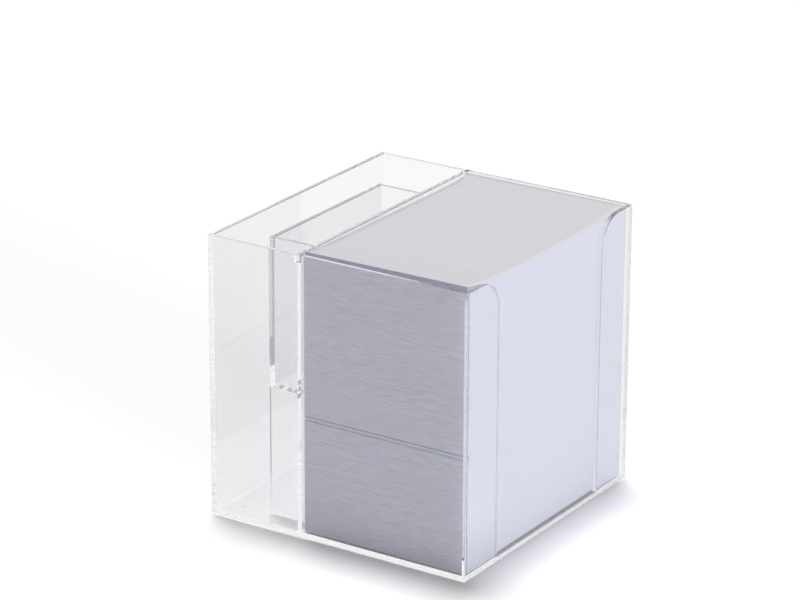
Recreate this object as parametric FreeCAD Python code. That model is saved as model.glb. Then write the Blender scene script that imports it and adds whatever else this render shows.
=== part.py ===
import FreeCAD, Part
import math
import os

# Memo pad holder in clear sheet: a pen bay on the left, with a raised rack for a row of markers along
# the partition, and a paper bay on the right, whose side is cut out so that a thumb can lift the sheets.
# X runs along the front, Y towards the back, Z up; the origin is the middle of the underside.
# All sizes are in millimetres.

# Driving dimensions of the holder
WIDTH = 92.0            # outside, along the front
DEPTH = 95.0            # outside, front to back
HEIGHT = 91.0           # underside to rim
SHEET = 1.5             # thickness of the base and the walls
ARRIS = 0.15            # polished-off sharp edge of the sheet
PEN_BAY = 30.2          # clear width of the pen bay
LAP_DEPTH = 2.3         # how deep the partition's ears are let into the rims
LAP_PLAY = 0.35         # cement gap on each side of an ear
FLAP_LENGTH = 18.2      # front face to the edge of the thumb cut-out, and the same at the back
FLAP_RADIUS = 10.0      # rounded top corner of a flap
WITNESS_RADIUS = 2.2    # shallow round mark in the floor of the pen bay
WITNESS_DEPTH = 0.1
WITNESS_FROM_LEFT = 8.9
WITNESS_FROM_FRONT = 5.8

# Rack for markers, along the partition
RACK_SHEET = 1.2        # thickness of the two fins
PEN_SLOT = 7.4          # clear depth of the slot in front of the rack
RACK_POCKET = 56.9      # clear length of the row of markers, between the fins
RACK_WIDTH = 13.7       # clear width beside the partition
SHELF_TOP = 44.0        # height of the raised floor above the table

# Paper
PAPER = 0.1             # one memo sheet
PAPER_PLAY = 0.3        # between the sheets and the partition or a flap
FRONT_ROOM = 1.1        # between the stack and the front panel
REAR_ROOM = 0.9         # between the stack and the back panel
AIR_UNDER_PAPER = 0.05  # under the stack and under the loose top sheet
LOWER_GAP_LEVEL = 38.0  # top of the lower sheets above the table
UPPER_GAP_LEVEL = 39.2  # top of the middle sheets above the table
TOP_EDGE_POINTS = 17    # interpolation points of a wavy edge

# Top side of the paper beside the partition: it sags, and curls up at both ends
LOW_EDGE_DROP = 0.8     # from the rim down to the sag
LOW_EDGE_FALL = 0.6     # how much deeper the sag is at the back
LOW_FRONT_CURL = 1.3    # rise at the front, and the distance in which it dies out
LOW_FRONT_LENGTH = 6.5
LOW_BACK_CURL = 1.2     # rise at the back, and the distance in which it dies out
LOW_BACK_LENGTH = 3.0

# The same beside the flaps
HIGH_EDGE_DROP = 2.15
HIGH_FRONT_CURL = 3.25
HIGH_FRONT_LENGTH = 14.5
HIGH_BACK_CURL = 2.1
HIGH_BACK_LENGTH = 13.0

# Faces that several pieces share
floor = SHEET
inner_back = DEPTH - SHEET
inner_right = WIDTH - SHEET
partition_left = SHEET + PEN_BAY
partition_right = partition_left + SHEET
front_fin_face = SHEET + PEN_SLOT
pocket_front = front_fin_face + RACK_SHEET
pocket_back = pocket_front + RACK_POCKET
rack_inner = partition_left - RACK_WIDTH
rack_outer = rack_inner - SHEET
paper_left = partition_right + PAPER_PLAY
paper_right = inner_right - PAPER_PLAY
paper_front = SHEET + FRONT_ROOM
paper_back = inner_back - REAR_ROOM


def extrude(points, direction):
    """A plate: the closed polygon through points, pushed along direction."""
    outline = Part.makePolygon([FreeCAD.Vector(*p) for p in points + points[:1]])
    return Part.Face(outline).extrude(FreeCAD.Vector(*direction))


def box(low, high):
    """A plate given by two opposite corners."""
    low, high = FreeCAD.Vector(*low), FreeCAD.Vector(*high)
    size = high - low
    return Part.makeBox(size.x, size.y, size.z, low)


def eased(plate, exposed):
    """The plate with the arris taken off each long edge whose bounding box passes the test."""
    edges = [e for e in plate.Edges if e.Length > 2 * SHEET and exposed(e.BoundBox)]
    return plate.makeChamfer(ARRIS, edges)


def same(a, b):
    return abs(a - b) < 1e-6


def on_rim(bounds):
    return same(bounds.ZMin, HEIGHT)


def outside_corner(bounds):
    """True for an edge in which two of the holder's outer faces meet."""
    planes = (
        same(bounds.XMax, 0), same(bounds.XMin, WIDTH), same(bounds.YMax, 0),
        same(bounds.YMin, DEPTH), same(bounds.ZMax, 0), same(bounds.ZMin, HEIGHT),
    )
    return sum(planes) > 1


def rim_or_corner(bounds):
    return on_rim(bounds) or outside_corner(bounds)


def base_plate():
    """Floor of the holder, out to its outer faces, with the shallow round mark near the front."""
    plate = eased(box((0, 0, 0), (WIDTH, DEPTH, floor)), outside_corner)
    mark_at = FreeCAD.Vector(WITNESS_FROM_LEFT, WITNESS_FROM_FRONT, floor - WITNESS_DEPTH)
    return plate.cut(Part.makeCylinder(WITNESS_RADIUS, SHEET, mark_at))


def notched_panel(y):
    """Front or back panel, full width, with the notch that takes the partition's ear."""
    notch_left, notch_right = partition_left - LAP_PLAY, partition_right + LAP_PLAY
    notch_floor = HEIGHT - LAP_DEPTH
    outline = [
        (0, y, floor), (WIDTH, y, floor), (WIDTH, y, HEIGHT), (notch_right, y, HEIGHT),
        (notch_right, y, notch_floor), (notch_left, y, notch_floor), (notch_left, y, HEIGHT), (0, y, HEIGHT),
    ]
    return eased(extrude(outline, (0, SHEET, 0)), rim_or_corner)


def left_panel():
    return eased(box((0, SHEET, floor), (SHEET, inner_back, HEIGHT)), rim_or_corner)


def partition_panel():
    """Wall between the two bays; an ear at each top corner lies in the rim of the front or back panel."""
    ear_floor = HEIGHT - LAP_DEPTH
    x = partition_left
    outline = [
        (x, SHEET, floor), (x, inner_back, floor), (x, inner_back, ear_floor), (x, DEPTH, ear_floor),
        (x, DEPTH, HEIGHT), (x, 0, HEIGHT), (x, 0, ear_floor), (x, SHEET, ear_floor),
    ]
    return eased(extrude(outline, (SHEET, 0, 0)), on_rim)


def flap(joined_y, free_y):
    """Side wall beside the thumb cut-out: joined_y is its cemented edge, free_y its free one."""
    towards_free = math.copysign(1.0, free_y - joined_y)
    arc_start_y = free_y - towards_free * FLAP_RADIUS
    arc_end_z = HEIGHT - FLAP_RADIUS
    half = math.sqrt(0.5) * FLAP_RADIUS
    x = inner_right

    def at(y, z):
        return FreeCAD.Vector(x, y, z)

    arc = Part.Arc(at(arc_start_y, HEIGHT), at(arc_start_y + towards_free * half, arc_end_z + half),
                   at(free_y, arc_end_z)).toShape()
    outline = Part.Wire([
        Part.makeLine(at(joined_y, floor), at(joined_y, HEIGHT)),
        Part.makeLine(at(joined_y, HEIGHT), at(arc_start_y, HEIGHT)),
        arc,
        Part.makeLine(at(free_y, arc_end_z), at(free_y, floor)),
        Part.makeLine(at(free_y, floor), at(joined_y, floor)),
    ])
    plate = Part.Face(outline).extrude(FreeCAD.Vector(SHEET, 0, 0))

    def exposed(bounds):
        joined = same(bounds.YMin, joined_y) and same(bounds.YMax, joined_y)
        on_base = same(bounds.ZMax, floor)
        return not joined and not on_base

    return eased(plate, exposed)


def fin(y):
    """Upright across the rack, from the base to the rim."""
    plate = box((rack_outer, y, floor), (partition_left, y + RACK_SHEET, HEIGHT))
    return eased(plate, on_rim)


def marker_shelf():
    """Raised floor of the rack, open underneath."""
    return box((rack_inner, pocket_front, SHELF_TOP - SHEET), (partition_left, pocket_back, SHELF_TOP))


def marker_side():
    """Side of the rack, from the underside of its floor up to the rim."""
    plate = box((rack_outer, pocket_front, SHELF_TOP - SHEET), (rack_inner, pocket_back, HEIGHT))
    return eased(plate, on_rim)


def curl(from_end, rise, length):
    """How far the sheets have risen at a distance from their end."""
    return rise * math.exp(-from_end / length)


def low_edge_height(y):
    """Height of the stack's top side along the partition."""
    from_front, from_back = y - paper_front, paper_back - y
    sag = HEIGHT - LOW_EDGE_DROP - LOW_EDGE_FALL * from_front / (paper_back - paper_front)
    front = curl(from_front, LOW_FRONT_CURL, LOW_FRONT_LENGTH)
    return sag + front + curl(from_back, LOW_BACK_CURL, LOW_BACK_LENGTH)


def high_edge_height(y):
    """Height of the stack's top side along the flaps."""
    front = curl(y - paper_front, HIGH_FRONT_CURL, HIGH_FRONT_LENGTH)
    back = curl(paper_back - y, HIGH_BACK_CURL, HIGH_BACK_LENGTH)
    return HEIGHT - HIGH_EDGE_DROP + front + back


def edge_curve(x, height, lowered):
    """Spline through the points of one wavy edge, from the front to the back."""
    middle, half_length = (paper_front + paper_back) / 2, (paper_back - paper_front) / 2
    points = []
    for i in range(TOP_EDGE_POINTS):
        # closer together at both ends, where the sheets curl
        y = middle - half_length * math.cos(math.pi * i / (TOP_EDGE_POINTS - 1))
        points.append(FreeCAD.Vector(x, y, height(y) - lowered))
    curve = Part.BSplineCurve()
    curve.interpolate(points)
    return curve.toShape()


def wavy_block(bottom_edge, top_edge):
    """Solid between two side profiles, each closed by a lower and an upper edge along the depth."""
    profiles = []
    for x, height in ((paper_left, low_edge_height), (paper_right, high_edge_height)):
        lower, upper = bottom_edge(x, height), top_edge(x, height)
        front = Part.makeLine(lower.Vertexes[0].Point, upper.Vertexes[0].Point)
        back = Part.makeLine(lower.Vertexes[-1].Point, upper.Vertexes[-1].Point)
        profiles.append(Part.Wire(Part.__sortEdges__([lower, back, upper, front])))
    return Part.makeLoft(profiles, True, True)


def flat_sheets(low, high):
    """Pressed-flat part of the stack."""
    return box((paper_left, paper_front, low), (paper_right, paper_back, high))


def upper_sheets():
    def bottom_edge(x, height):
        return Part.makeLine(FreeCAD.Vector(x, paper_front, UPPER_GAP_LEVEL),
                             FreeCAD.Vector(x, paper_back, UPPER_GAP_LEVEL))

    def top_edge(x, height):
        return edge_curve(x, height, PAPER + AIR_UNDER_PAPER)

    return wavy_block(bottom_edge, top_edge)


def top_sheet():
    def bottom_edge(x, height):
        return edge_curve(x, height, PAPER)

    def top_edge(x, height):
        return edge_curve(x, height, 0)

    return wavy_block(bottom_edge, top_edge)


pieces = {
    "base_plate": base_plate(),
    "front_panel": notched_panel(0),
    "back_panel": notched_panel(inner_back),
    "left_panel": left_panel(),
    "partition_panel": partition_panel(),
    "front_flap": flap(SHEET, FLAP_LENGTH),
    "rear_flap": flap(inner_back, DEPTH - FLAP_LENGTH),
    "front_fin": fin(front_fin_face),
    "rear_fin": fin(pocket_back),
    "marker_shelf": marker_shelf(),
    "marker_side": marker_side(),
    "memo_lower": flat_sheets(floor + AIR_UNDER_PAPER, LOWER_GAP_LEVEL),
    "memo_middle": flat_sheets(LOWER_GAP_LEVEL, UPPER_GAP_LEVEL),
    "memo_upper": upper_sheets(),
    "memo_top_sheet": top_sheet(),
}

os.makedirs("parts", exist_ok=True)
for node, shape in pieces.items():
    shape.translate(FreeCAD.Vector(-WIDTH / 2, -DEPTH / 2, 0))
    shape.exportStep("parts/" + node + ".step")
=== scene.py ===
import bpy
import bmesh
import math
from mathutils import Matrix, Vector, noise


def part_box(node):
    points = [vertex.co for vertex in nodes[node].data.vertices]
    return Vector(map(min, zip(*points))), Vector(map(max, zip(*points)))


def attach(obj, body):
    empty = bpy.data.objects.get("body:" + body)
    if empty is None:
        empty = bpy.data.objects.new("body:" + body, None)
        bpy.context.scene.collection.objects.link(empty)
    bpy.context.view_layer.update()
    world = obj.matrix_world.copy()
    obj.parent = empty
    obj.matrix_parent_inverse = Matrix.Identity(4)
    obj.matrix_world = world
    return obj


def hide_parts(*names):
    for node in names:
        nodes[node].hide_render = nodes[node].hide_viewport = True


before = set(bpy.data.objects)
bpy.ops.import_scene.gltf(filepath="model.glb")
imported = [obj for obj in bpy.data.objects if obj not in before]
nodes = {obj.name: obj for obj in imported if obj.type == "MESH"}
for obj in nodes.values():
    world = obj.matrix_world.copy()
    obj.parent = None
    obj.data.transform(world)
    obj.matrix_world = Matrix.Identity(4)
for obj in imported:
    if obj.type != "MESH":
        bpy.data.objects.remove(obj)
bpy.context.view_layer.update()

scene = bpy.context.scene


# Clear sheets: eleven cut pieces of polished acrylic, cemented edge to edge into one box with a partition
# and a raised rack. Light passes from sheet to sheet through the cement, so a face has no surface of its
# own where it lies against the next sheet.
sheets_by_facing = {
    0: ["left_panel", "partition_panel", "front_flap", "rear_flap", "marker_side"],
    1: ["front_panel", "back_panel", "front_fin", "rear_fin"],
    2: ["base_plate", "marker_shelf"],
}
clear_index = 1.49
cement_reach = 0.00001
face_roughness, cut_edge_roughness, routed_edge_roughness = 0.035, 0.14, 0.28
# how far a normal leans to the facing axis: past the first its face is broad, past the second an arris
broad_lean, arris_lean = 0.9, 0.5
between_one_and_two = 1.5

# one value for each facing axis; the tints are of broad faces, cut edges, arrises and lamp light.
# They hold painted light and shade: the lying sheets' faces are left clear, a painted light that makes
# the base look lighter, and the arrises of the sheets facing front and back are darkened into painted
# shade lines
face_tints = ((0.955, 0.955, 0.96, 1.0), (0.97, 0.97, 0.975, 1.0), (1.0, 1.0, 1.0, 1.0))
edge_tints = ((0.95, 0.94, 0.96, 1.0), (0.95, 0.94, 0.96, 1.0), (0.985, 0.985, 0.995, 1.0))
arris_shade_tints = (None, (0.65, 0.65, 0.68, 1.0), None)
lamp_tints = ((0.99, 0.991, 0.993), (0.96, 0.961, 0.963), (1.0, 1.0, 1.0))
grazing_losses = (0.25, 1.25, 0.4)
grazing_power = 5.0

# the flaps have their own tint, lighter than the other uprights' so that the paper behind them looks as
# light as the bare paper between them, a painted light; each has one tint for its cut edges and one for
# its arrises: the rear flap's cut edge is darkened to the paper's tone, a painted reflection of the
# paper, and the arrises into painted shade lines
flap_face_tint_with_painted_light = (0.985, 0.985, 0.99, 1.0)
flap_edge_tints_with_painted_shade = {
    "front_flap": ((0.95, 0.95, 0.99, 1.0), (0.50, 0.50, 0.53, 1.0)),
    "rear_flap": ((0.60, 0.60, 0.67, 1.0), (0.30, 0.30, 0.34, 1.0)),
}


def feed(tree, sockets, values):
    """Gives each socket its value, which is another node's output or a plain value; None is passed over."""
    for socket, value in zip(sockets, values):
        if isinstance(value, bpy.types.NodeSocket):
            tree.links.new(value, socket)
        elif value is not None:
            socket.default_value = value


def math_node(tree, operation, first, second):
    made = tree.nodes.new("ShaderNodeMath")
    made.operation = operation
    feed(tree, made.inputs, (first, second))
    return made.outputs[0]


def vector_node(tree, operation, first, second=None, scale=None):
    made = tree.nodes.new("ShaderNodeVectorMath")
    made.operation = operation
    feed(tree, made.inputs, (first, second, None, scale))
    return made.outputs[0]


def split(tree, vector):
    """The X, Y and Z of a vector."""
    made = tree.nodes.new("ShaderNodeSeparateXYZ")
    tree.links.new(vector, made.inputs[0])
    return made.outputs


def mixed(tree, factor, first, second):
    """A shader: first where the factor is 0, second where it is 1."""
    made = tree.nodes.new("ShaderNodeMixShader")
    feed(tree, made.inputs, (factor, first, second))
    return made.outputs[0]


def blend(tree, factor, first, second):
    """A colour: first where the factor is 0, second where it is 1."""
    made = tree.nodes.new("ShaderNodeMix")
    made.data_type = "RGBA"
    feed(tree, (made.inputs["Factor"], made.inputs["A"], made.inputs["B"]), (factor, first, second))
    return made.outputs["Result"]


def new_tree(name):
    """A material with an empty node tree."""
    made = bpy.data.materials.new(name)
    made.use_nodes = True
    made.node_tree.nodes.clear()
    return made, made.node_tree


def finish_tree(tree, surface, kind="ShaderNodeOutputMaterial"):
    tree.links.new(surface, tree.nodes.new(kind).inputs["Surface"])


def cemented_mask(tree, place):
    """1 where a point lies in two sheets at once, which is where two sheets are cemented together."""
    sheets_here = 0.0
    sheet_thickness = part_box("left_panel")[1].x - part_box("left_panel")[0].x
    for names in sheets_by_facing.values():
        for name in names:
            low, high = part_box(name)
            if name == "partition_panel":
                # its ears only lie in the rims, with play all round
                low.y += sheet_thickness
                high.y -= sheet_thickness
            reach = (high - low) / 2 + Vector((cement_reach, cement_reach, cement_reach))
            from_middle = vector_node(tree, "SUBTRACT", place, (low + high) / 2)
            from_middle = vector_node(tree, "ABSOLUTE", from_middle)
            beyond = split(tree, vector_node(tree, "SUBTRACT", from_middle, reach))
            farthest = math_node(tree, "MAXIMUM", beyond["X"], beyond["Y"])
            farthest = math_node(tree, "MAXIMUM", farthest, beyond["Z"])
            inside = math_node(tree, "LESS_THAN", farthest, 0.0)
            sheets_here = math_node(tree, "ADD", inside, sheets_here)
    return math_node(tree, "GREATER_THAN", sheets_here, between_one_and_two)


def clear_sheet(name, facing, face_tint, edge_tint, arris_shade_tint, edge_roughness):
    """Clear acrylic whose broad faces look along the facing axis; its narrow faces are cut edges."""
    made, tree = new_tree(name)
    coordinates = tree.nodes.new("ShaderNodeTexCoord")
    lean = math_node(tree, "ABSOLUTE", split(tree, coordinates.outputs["Normal"])[facing], 0.0)
    narrow = math_node(tree, "LESS_THAN", lean, broad_lean)
    # where an arris tint is given, the arrises are darkened with it: painted shade lines along the rims
    if arris_shade_tint:
        edge_tint = blend(tree, math_node(tree, "GREATER_THAN", lean, arris_lean), edge_tint, arris_shade_tint)
    rougher = math_node(tree, "MULTIPLY", narrow, edge_roughness - face_roughness)

    glass = tree.nodes.new("ShaderNodeBsdfPrincipled")
    glass.inputs["IOR"].default_value = clear_index
    glass.inputs["Transmission Weight"].default_value = 1.0
    tree.links.new(blend(tree, narrow, face_tint, edge_tint), glass.inputs["Base Color"])
    tree.links.new(math_node(tree, "ADD", rougher, face_roughness), glass.inputs["Roughness"])

    # lamp and bounce light goes straight on, less what a slanting surface throws back from outside
    slant = tree.nodes.new("ShaderNodeLayerWeight").outputs["Facing"]
    outside = math_node(tree, "SUBTRACT", 1.0, tree.nodes.new("ShaderNodeNewGeometry").outputs["Backfacing"])
    thrown_back = math_node(tree, "MULTIPLY", math_node(tree, "POWER", slant, grazing_power), outside)
    thrown_back = math_node(tree, "MULTIPLY", thrown_back, grazing_losses[facing])
    let_through = math_node(tree, "SUBTRACT", 1.0, thrown_back)
    passed = vector_node(tree, "SCALE", lamp_tints[facing], scale=let_through)
    straight_on = tree.nodes.new("ShaderNodeBsdfTransparent")
    tree.links.new(passed, straight_on.inputs["Color"])
    path = tree.nodes.new("ShaderNodeLightPath").outputs
    is_light = math_node(tree, "MAXIMUM", path["Is Shadow Ray"], path["Is Diffuse Ray"])
    surface = mixed(tree, is_light, glass.outputs[0], straight_on.outputs[0])

    cement = tree.nodes.new("ShaderNodeBsdfTransparent").outputs[0]
    finish_tree(tree, mixed(tree, cemented_mask(tree, coordinates.outputs["Object"]), surface, cement))
    return made


for facing, names in sheets_by_facing.items():
    polished = clear_sheet("clear_sheet_" + "xyz"[facing], facing, face_tints[facing], edge_tints[facing],
                           arris_shade_tints[facing], cut_edge_roughness)
    for name in names:
        nodes[name].data.materials.clear()
        nodes[name].data.materials.append(polished)
# the thumb cut-out is routed, which leaves the flaps a silkier edge; the rear flap's edge is tinted darker
# than the front one's, a painted reflection of the paper
for name, (edge, arris) in flap_edge_tints_with_painted_shade.items():
    nodes[name].data.materials[0] = clear_sheet("clear_sheet_" + name, 0, flap_face_tint_with_painted_light, edge, arris,
                                                routed_edge_roughness)


# Memo block: three reams of loose white sheets, about 90 by 57 mm. Each leaf lies a little out of line
# with the next, and a wide gap shows where one ream ends and the next begins.
paper_thickness, air_under_sheet = 0.0001, 0.00005
leaf_height = 0.00034
front_jitter, side_jitter = 0.00007, 0.00002
gap_depth, gap_height = 0.0003, 0.00007
pressed_depth = 0.0025
segments_across, segments_along = 12, 18
# vertices this near a side, as a share of the ream, lie on it
hair = 1e-6
# how far the jitter moves on through its noise from leaf to leaf, along a leaf and from side to side
leaf_step, along_step, side_step = 7.31, 45.0, 3.7

# the top side's height below the rim at each long edge, and how high and how far its two ends curl up
partition_edge_depth, partition_edge_fall = 0.0008, 0.0006
partition_front_curl, partition_back_curl = (0.0013, 0.0065), (0.0012, 0.003)
flap_edge_depth = 0.00215
flap_front_curl, flap_back_curl = (0.00325, 0.0145), (0.0021, 0.013)
# leaves take up the top side's shape by this power of their share of the height
curl_power = 3

paper_face_colour = (0.80, 0.78, 0.82)
paper_edge_colour = (0.79, 0.80, 0.925)
# painted shade: the leaves' edges near the rim take this darker, bluer colour, down to this depth under the
# rim
painted_rim_shade_colour = (0.53, 0.515, 0.68)
painted_rim_shade_depth = 0.00055
paper_roughness, paper_gloss = 0.85, 0.25
tooth_strength, tooth_height = 0.15, 0.00005
# grain of the paper: repeats to the metre across the leaves and up through them, and its detail
streak_grain, streak_patch_grain, broad_grain = (230.0, 2400.0, 1.0), (25.0, 60.0, 1.0), (3.0, 120.0, 1.0)
fibre_grain, tooth_grain = (900.0, 900.0, 4.0), (2600.0, 2600.0, 3.0)
front_streaks, side_streaks, face_streaks = 0.32, 0.05, 0.05
patch_strength, broad_strength, fibre_strength = 2.0, 0.2, 0.05

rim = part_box("left_panel")[1].z
paper_low, paper_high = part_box("memo_upper")


def curl(from_end, rise, length):
    """How far the leaves have risen at a distance from their end."""
    return rise * math.exp(-from_end / length)


def top_side(x, y):
    """Height of the paper's top side: it sags in the middle and curls up at the front and the back."""
    from_front, from_back = y - paper_low.y, paper_high.y - y
    low_side = rim - partition_edge_depth - partition_edge_fall * from_front / (paper_high.y - paper_low.y)
    low_side += curl(from_front, *partition_front_curl) + curl(from_back, *partition_back_curl)
    high_side = rim - flap_edge_depth + curl(from_front, *flap_front_curl) + curl(from_back, *flap_back_curl)
    across = (x - paper_low.x) / (paper_high.x - paper_low.x)
    return low_side + (high_side - low_side) * across


def paper(name, colour, streak_strength, rim_shade_colour=None):
    """Uncoated paper: soft fibre mottling, and on a cut edge the fine streaks of single leaves. Given a rim
    shade colour, the edges near the rim take it as a painted shade.
    """
    made, tree = new_tree(name)
    place = tree.nodes.new("ShaderNodeTexCoord").outputs["Object"]

    def grain(across, upright, detail):
        stretched = tree.nodes.new("ShaderNodeMapping")
        stretched.inputs["Scale"].default_value = (across, across, upright)
        tree.links.new(place, stretched.inputs["Vector"])
        cloud = tree.nodes.new("ShaderNodeTexNoise")
        cloud.inputs["Scale"].default_value = 1.0
        cloud.inputs["Detail"].default_value = detail
        tree.links.new(stretched.outputs[0], cloud.inputs["Vector"])
        return cloud.outputs["Fac"]

    def shade_of(a_grain, strength):
        """A shade that is as often darker as lighter."""
        return math_node(tree, "MULTIPLY", math_node(tree, "SUBTRACT", grain(*a_grain), 0.5), strength)

    # fine streaks, stronger in some patches than in others, and a broad shade now and then
    patches = math_node(tree, "MULTIPLY", grain(*streak_patch_grain), patch_strength)
    streaks = math_node(tree, "ADD", shade_of(streak_grain, patches), shade_of(broad_grain, broad_strength))
    streaks = math_node(tree, "MULTIPLY", streaks, streak_strength)
    shade = math_node(tree, "ADD", streaks, shade_of(fibre_grain, fibre_strength))
    shade = math_node(tree, "ADD", shade, 1.0)
    if rim_shade_colour:
        # painted shade: near the rim, where nothing presses the leaves together, their edges take a darker,
        # bluer colour
        rim_shade_mask = math_node(tree, "GREATER_THAN", split(tree, place)["Z"], rim - painted_rim_shade_depth)
        colour = blend(tree, rim_shade_mask, (*colour, 1.0), (*rim_shade_colour, 1.0))

    sheet = tree.nodes.new("ShaderNodeBsdfPrincipled")
    sheet.inputs["Roughness"].default_value = paper_roughness
    sheet.inputs["Specular IOR Level"].default_value = paper_gloss
    tree.links.new(vector_node(tree, "SCALE", colour, scale=shade), sheet.inputs["Base Color"])
    tooth = tree.nodes.new("ShaderNodeBump")
    tooth.inputs["Strength"].default_value = tooth_strength
    tooth.inputs["Distance"].default_value = tooth_height
    tree.links.new(grain(*tooth_grain), tooth.inputs["Height"])
    tree.links.new(tooth.outputs[0], sheet.inputs["Normal"])
    finish_tree(tree, sheet.outputs[0])
    return made


def place_paper(name, bm, finishes, body, node):
    """A finished piece of paper that rides on a body and stands for a node of the frame."""
    mesh = bpy.data.meshes.new(name)
    bm.to_mesh(mesh)
    bm.free()
    for finish in finishes:
        mesh.materials.append(finish)
    piece = bpy.data.objects.new(name, mesh)
    scene.collection.objects.link(piece)
    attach(piece, body)
    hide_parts(node)


def ream(name, node, body, finish_by_axis, seed, gap_below, gap_above):
    """A block of leaves in the node's place; gaps open where it meets the ream below or above."""
    low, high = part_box(node)
    size = high - low
    is_top = node == "memo_upper"
    flat_top = rim - pressed_depth if is_top else high.z
    leaves = round((min(high.z, rim) - low.z) / leaf_height)
    rings = 2 * leaves - 1
    bm = bmesh.new()
    bmesh.ops.create_cube(bm, size=1.0)
    for axis, segments in ((2, rings), (0, segments_across), (1, segments_along)):
        uncut = [e for e in bm.edges if abs(e.verts[0].co[axis] - e.verts[1].co[axis]) > 0.5]
        bmesh.ops.subdivide_edges(bm, edges=uncut, cuts=segments - 1, use_grid_fill=True)
    for face in bm.faces:
        face.normal_update()
        face.material_index = max(range(3), key=lambda axis: abs(face.normal[axis]))

    for vert in bm.verts:
        share = [value + 0.5 for value in vert.co]
        ring = round(share[2] * rings)
        leaf = ring // 2
        share_up = (leaf + ring % 2) / leaves
        x, y = low.x + share[0] * size.x, low.y + share[1] * size.y
        z = low.z + (flat_top - low.z) * share_up
        if is_top:
            z += (top_side(x, y) - paper_thickness - air_under_sheet - flat_top) * share_up ** curl_power
        at_gap = (gap_above and ring == rings) or (gap_below and ring == 0)
        beside_gap = (gap_above and ring >= rings - 1) or (gap_below and ring <= 1)
        for axis in (0, 1):
            outward = (share[axis] > 1 - hair) - (share[axis] < hair)
            if outward == 0:
                continue
            along = (y, x)[axis] * along_step
            wander = noise.noise(Vector((leaf * leaf_step + seed, along, side_step * axis + outward)))
            if axis == 0:
                x -= outward * side_jitter * (1.0 + wander)
                continue
            wander = 0.0 if beside_gap else wander
            y -= outward * (front_jitter * (1.0 + wander) + gap_depth * at_gap)
            z += gap_height * at_gap * (1 if ring == 0 else -1)
        vert.co = (x, y, z)
    place_paper(name, bm, finish_by_axis, body, node)


side_edges = paper("paper_side_edges", paper_edge_colour, side_streaks, painted_rim_shade_colour)
front_edges = paper("paper_front_edges", paper_edge_colour, front_streaks, painted_rim_shade_colour)
sheet_face = paper("paper_sheet_face", paper_face_colour, face_streaks)
ream_finishes = (side_edges, front_edges, sheet_face)
ream("lower_ream", "memo_lower", "lower_sheets", ream_finishes, 11.0, gap_below=False, gap_above=True)
ream("middle_ream", "memo_middle", "middle_sheets", ream_finishes, 37.0, gap_below=True, gap_above=True)
ream("upper_ream", "memo_upper", "upper_sheets", ream_finishes, 71.0, gap_below=True, gap_above=False)


# Loose top sheet: one leaf of the same paper, 0.1 mm thick, that lies on the upper ream and follows its
# curl. Nothing holds it down.
sheet_segments_across, sheet_segments_along = 30, 48
low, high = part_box("memo_top_sheet")
bm = bmesh.new()
bmesh.ops.create_grid(bm, x_segments=sheet_segments_across, y_segments=sheet_segments_along, size=0.5)
for vert in bm.verts:
    x = low.x + (vert.co.x + 0.5) * (high.x - low.x)
    y = low.y + (vert.co.y + 0.5) * (high.y - low.y)
    vert.co = (x, y, top_side(x, y))
bmesh.ops.solidify(bm, geom=bm.faces[:], thickness=paper_thickness)
for face in bm.faces:
    face.smooth = abs(face.normal.z) > 0.5
place_paper("top_sheet", bm, [sheet_face], "top_sheet", "memo_top_sheet")


# Floor: a plain pale table, just under the base so that the two don't meet. It looks a little brighter
# than it lights the object, both directly and through the sheets.
floor_reach, floor_drop = 4.0, 0.0002
floor_level, level_through_sheets, level_seen_directly = 0.8, 1.19, 1.27
bm = bmesh.new()
bmesh.ops.create_grid(bm, x_segments=1, y_segments=1, size=floor_reach)
bmesh.ops.translate(bm, verts=bm.verts, vec=(0, 0, -floor_drop))
mesh = bpy.data.meshes.new("floor")
bm.to_mesh(mesh)
bm.free()
floor = bpy.data.objects.new("floor", mesh)
scene.collection.objects.link(floor)


def matt(tree, level):
    made = tree.nodes.new("ShaderNodeBsdfDiffuse")
    made.inputs["Color"].default_value = (level, level, level, 1.0)
    return made.outputs[0]


pale, tree = new_tree("pale_floor")
path = tree.nodes.new("ShaderNodeLightPath").outputs
table = mixed(tree, path["Is Transmission Ray"], matt(tree, floor_level), matt(tree, level_through_sheets))
finish_tree(tree, mixed(tree, path["Is Camera Ray"], table, matt(tree, level_seen_directly)))
mesh.materials.append(pale)


# Room: soft, even and white, and weak as a light. The camera sees plain white; reflections and clear
# sheets see white at the horizon and a little grey overhead.
room_strength = 0.184
overhead_range = {"From Min": 0.45, "From Max": 1.0, "To Min": 1.0, "To Max": 0.7}
world = bpy.data.worlds.new("studio")
scene.world = world
world.use_nodes = True
tree = world.node_tree
tree.nodes.clear()
room, backdrop = tree.nodes.new("ShaderNodeBackground"), tree.nodes.new("ShaderNodeBackground")
room.inputs["Color"].default_value = backdrop.inputs["Color"].default_value = (1.0, 1.0, 1.0, 1.0)
room.inputs["Strength"].default_value = room_strength
overhead = tree.nodes.new("ShaderNodeMapRange")
overhead.interpolation_type = "SMOOTHSTEP"
for socket, value in overhead_range.items():
    overhead.inputs[socket].default_value = value
upward = split(tree, tree.nodes.new("ShaderNodeTexCoord").outputs["Generated"])["Z"]
tree.links.new(upward, overhead.inputs["Value"])
path = tree.nodes.new("ShaderNodeLightPath").outputs
bright = math_node(tree, "MAXIMUM", overhead.outputs[0], path["Is Camera Ray"])
tree.links.new(bright, backdrop.inputs["Strength"])
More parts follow.
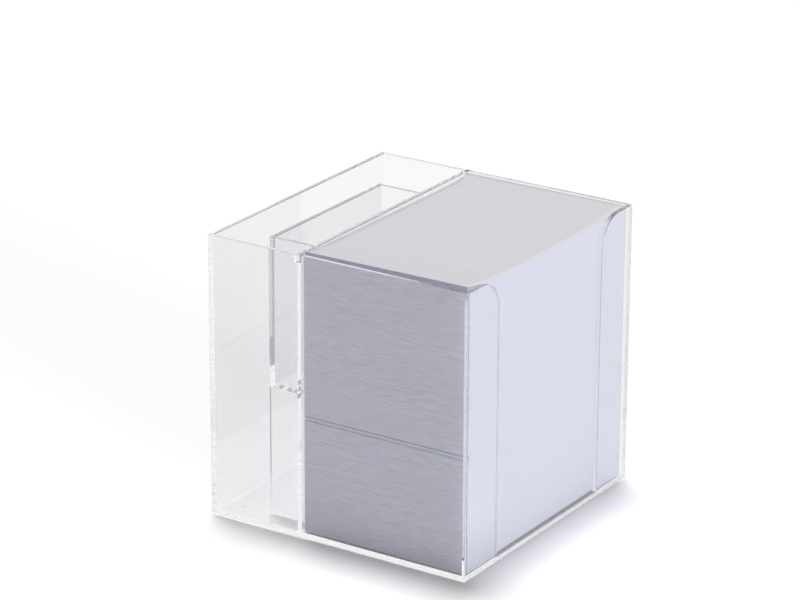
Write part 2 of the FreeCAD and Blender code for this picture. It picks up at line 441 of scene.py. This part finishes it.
seen_directly = math_node(tree, "MAXIMUM", path["Is Camera Ray"], path["Is Glossy Ray"])
seen_directly = math_node(tree, "MAXIMUM", seen_directly, path["Is Transmission Ray"])
surface = mixed(tree, seen_directly, room.outputs[0], backdrop.outputs[0])
finish_tree(tree, surface, "ShaderNodeOutputWorld")


# Lamps: a broad one from overhead, and a broader one low on the right for the paper's long side. Both are
# white and far off. Each has the direction it stands in, its level and its width in degrees.
lamps = {
    "overhead_lamp": ((-0.14, 0.12, 1.0), 0.58, 14.0),
    "side_lamp": ((1.0, -0.33, 0.12), 0.59, 24.0),
}
for name, (towards, level, width) in lamps.items():
    light = bpy.data.lights.new(name, "SUN")
    # at level 1 a white surface that faces the lamp shows as white
    light.energy = math.pi * level
    light.angle = math.radians(width)
    lamp = bpy.data.objects.new(name, light)
    scene.collection.objects.link(lamp)
    lamp.rotation_euler = Vector(towards).to_track_quat("Z", "Y").to_euler()


# Camera: a long lens from the right, the front and above, turned a little about its own axis. Light may
# pass many sheets, so it is followed through far more faces than usual.
azimuth, elevation, roll = math.radians(33.07), math.radians(20.60), math.radians(0.27)
camera_place = Vector((0.57934, -0.90213, 0.46775))
camera = bpy.data.objects.new("camera", bpy.data.cameras.new("camera"))
scene.collection.objects.link(camera)
camera.data.lens, camera.data.sensor_width = 168.78, 36.0
camera.data.clip_start, camera.data.clip_end = 0.05, 20.0
back = Vector((math.sin(azimuth) * math.cos(elevation), -math.cos(azimuth) * math.cos(elevation),
               math.sin(elevation)))
right = Vector((math.cos(azimuth), math.sin(azimuth), 0.0))
roll_turn = Matrix.Rotation(roll, 3, back)
right, up = roll_turn @ right, roll_turn @ back.cross(right)
camera.matrix_world = Matrix.Translation(camera_place) @ Matrix((right, up, back)).transposed().to_4x4()
scene.camera = camera
scene.view_settings.view_transform = "Standard"
faces_followed, straight_faces_followed = 96, 64
cycles = scene.cycles
cycles.max_bounces = cycles.transmission_bounces = cycles.glossy_bounces = faces_followed
cycles.transparent_max_bounces = straight_faces_followed
